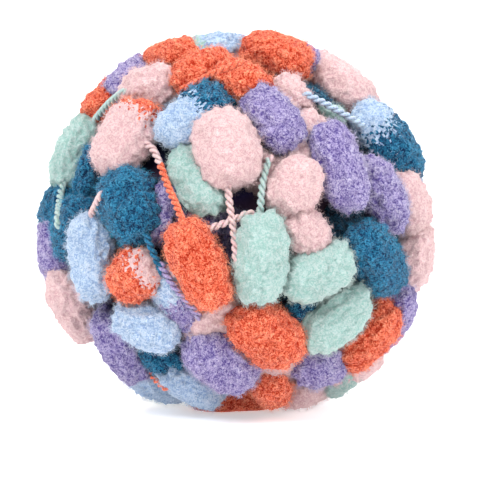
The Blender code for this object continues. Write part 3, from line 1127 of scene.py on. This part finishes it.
def lit_white_acrylic(colour):
    """A photo table's milky acrylic, lit from behind: no gloss, and nearly no shadow."""
    return finish_material(new_material("lit_white_acrylic")[0], {
        "Base Color": (*colour, 1), "Roughness": 0.9,
        "Emission Color": (1, 1, 1, 1), "Emission Strength": 0.45,
    })


class YARN_OT_add_hearts(bpy.types.Operator):
    """Add the pompoms' bound hearts, under their pile"""

    bl_idname = "yarn.add_hearts"
    bl_label = "Add pompom hearts"

    def execute(self, context):
        points, faces = surface_at(HEART_DEPTH)
        directions, heart_faces = sphere_mesh(HEART_SUBDIVISIONS)
        along = directions[heart_faces].mean(axis=1)[:, 0]
        worn = [dyes_along(number, along) for number in range(len(lay_out_pompoms()))]
        # The rest is the core, whose material comes after the dyes'
        worn = np.pad(np.ravel(worn), (0, len(faces) - np.size(worn)), constant_values=len(DYES))
        materials = [bound_fibre_heart(name) for name in DYES] + [shaded_inner_yarn()]
        hearts = mesh_piece("pompom_hearts", points, faces, materials, worn)
        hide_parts(BALL_NODE)
        return {"FINISHED"}


class YARN_OT_add_pile(bpy.types.Operator):
    """Add the pompoms' pile and its loose fibres, dye by dye"""

    bl_idname = "yarn.add_pile"
    bl_label = "Add pompom pile"

    def execute(self, context):
        settings = context.scene.yarn_settings
        piles = [pile_of(number, settings) for number in range(len(lay_out_pompoms()))]
        for dye, name in enumerate(DYES):
            for piece in (pile_piece(name, dye, piles), fibre_piece(name, dye, piles, settings)):
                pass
        return {"FINISHED"}


class YARN_OT_add_cord(bpy.types.Operator):
    """Add the twisted cord that runs from pompom to pompom"""

    bl_idname = "yarn.add_cord"
    bl_label = "Add connecting cord"

    def execute(self, context):
        settings = context.scene.yarn_settings
        routes = [(seen_cord_path(places), dyes) for places, dyes in SEEN_CORDS]
        chance = random.Random(SEED)
        shapes, worn = [], []
        for path, dyes in routes + hidden_cord_paths():
            path = tucked(path, dyes)
            shapes.append(twisted_cord(path, settings, chance.uniform(0, 2 * math.pi)))
            ring = shapes[-1][1].min(axis=1) // PLY_SIDES % len(path)
            part = np.minimum(ring * len(dyes) // len(path), len(dyes) - 1)
            worn.append(np.array([DYE_NUMBERS[dye] for dye in dyes])[part])
        materials = [plied_polyester_cord(name) for name in DYES]
        cord = mesh_piece("connecting_cord", *joined(shapes), materials, np.concatenate(worn))
        return {"FINISHED"}


class YARN_OT_add_stage(bpy.types.Operator):
    """Add the floor, the lights and the camera"""

    bl_idname = "yarn.add_stage"
    bl_label = "Add stage"

    def execute(self, context):
        settings = context.scene.stage_settings
        add_sweep(settings)
        add_lights(settings)
        add_camera()
        return {"FINISHED"}


def add_sweep(settings):
    """A floor that bends up into a backdrop well behind the ball."""
    radius = settings.sweep_radius
    turns = np.linspace(0, math.pi / 2, BEND_STEPS)
    profile = [
        *((y, 0.0) for y in LEVEL_FLOOR),
        *((BEND_STARTS + radius * math.sin(turn), radius * (1 - math.cos(turn))) for turn in turns),
        (BEND_STARTS + radius, BACKDROP_TOP),
    ]
    points = [(x, y, z) for y, z in profile for x in FLOOR_SIDES]
    faces = []
    for at in range(0, len(points) - 2, 2):
        faces += [(at, at + 1, at + 3), (at, at + 3, at + 2)]
    materials = [lit_white_acrylic(settings.floor_colour)]
    floor = add_object("floor_sweep", mesh_of("floor_sweep", points, faces, materials))


def add_aimed(name, data, place, way):
    """A light or camera at a place, which looks one way."""
    added = add_object(name, data)
    added.location = place
    added.rotation_euler = Vector(way).to_track_quat("-Z", "Y").to_euler()
    return added


def add_area_light(name, power, place, size, target=MIDDLE):
    """A square soft box that points at the ball or at another target."""
    data = bpy.data.lights.new(name, "AREA")
    data.energy = power
    data.size = size
    add_aimed(name, data, place, np.subtract(target, place))


def add_lights(settings):
    """Soft boxes at the left, the right and the backdrop, and light from all around."""
    add_area_light("key_soft_box", settings.key_power, place=(-0.45, -0.75, 0.95), size=0.7)
    add_area_light("fill_soft_box", settings.fill_power, place=(0.8, -0.6, 0.5), size=0.8)
    add_area_light("backdrop_soft_box", settings.backdrop_power,
                   place=(0, 0.4, 1.3), size=1.6, target=(0, 1.6, 0.5))
    world = bpy.data.worlds.new("white_surround")
    world.use_nodes = True
    background = world.node_tree.nodes["Background"].inputs
    background["Color"].default_value = (1, 1, 1, 1)
    background["Strength"].default_value = settings.surround
    bpy.context.scene.world = world
    bpy.context.scene.view_settings.view_transform = "Standard"


def add_camera():
    """The photograph's view: the ball a little left of and above the middle."""
    data = bpy.data.cameras.new("photo_camera")
    data.lens = data.sensor_width * EYE_DISTANCE / (PICTURE_SIDE * PIXEL)
    aim = sight_of(PICTURE_SIDE / 2, PICTURE_SIDE / 2)
    camera = add_aimed("photo_camera", data, EYE + centring_move(), aim)
    bpy.context.scene.camera = camera


class YARN_PT_panel(bpy.types.Panel):
    """Sidebar panel for the yarn ball"""

    bl_idname = "YARN_PT_panel"
    bl_label = "Yarn Ball"
    bl_space_type = "VIEW_3D"
    bl_region_type = "UI"
    bl_category = "Yarn Ball"

    def draw(self, context):
        for group in (context.scene.yarn_settings, context.scene.stage_settings):
            box = self.layout.box()
            for name in group.__annotations__:
                box.prop(group, name)
        for operator in OPERATORS:
            self.layout.operator(operator.bl_idname)


OPERATORS = (YARN_OT_add_stage, YARN_OT_add_hearts, YARN_OT_add_pile, YARN_OT_add_cord)
CLASSES = (YarnSettings, StageSettings, *OPERATORS, YARN_PT_panel)


def register():
    for one in CLASSES:
        bpy.utils.register_class(one)
    bpy.types.Scene.yarn_settings = PointerProperty(type=YarnSettings)
    bpy.types.Scene.stage_settings = PointerProperty(type=StageSettings)


def unregister():
    del bpy.types.Scene.stage_settings
    del bpy.types.Scene.yarn_settings
    for one in reversed(CLASSES):
        bpy.utils.unregister_class(one)


def main():
    register()
    bpy.ops.yarn.add_stage()
    bpy.ops.yarn.add_hearts()
    bpy.ops.yarn.add_pile()
    bpy.ops.yarn.add_cord()


if __name__ == "__main__":
    main()
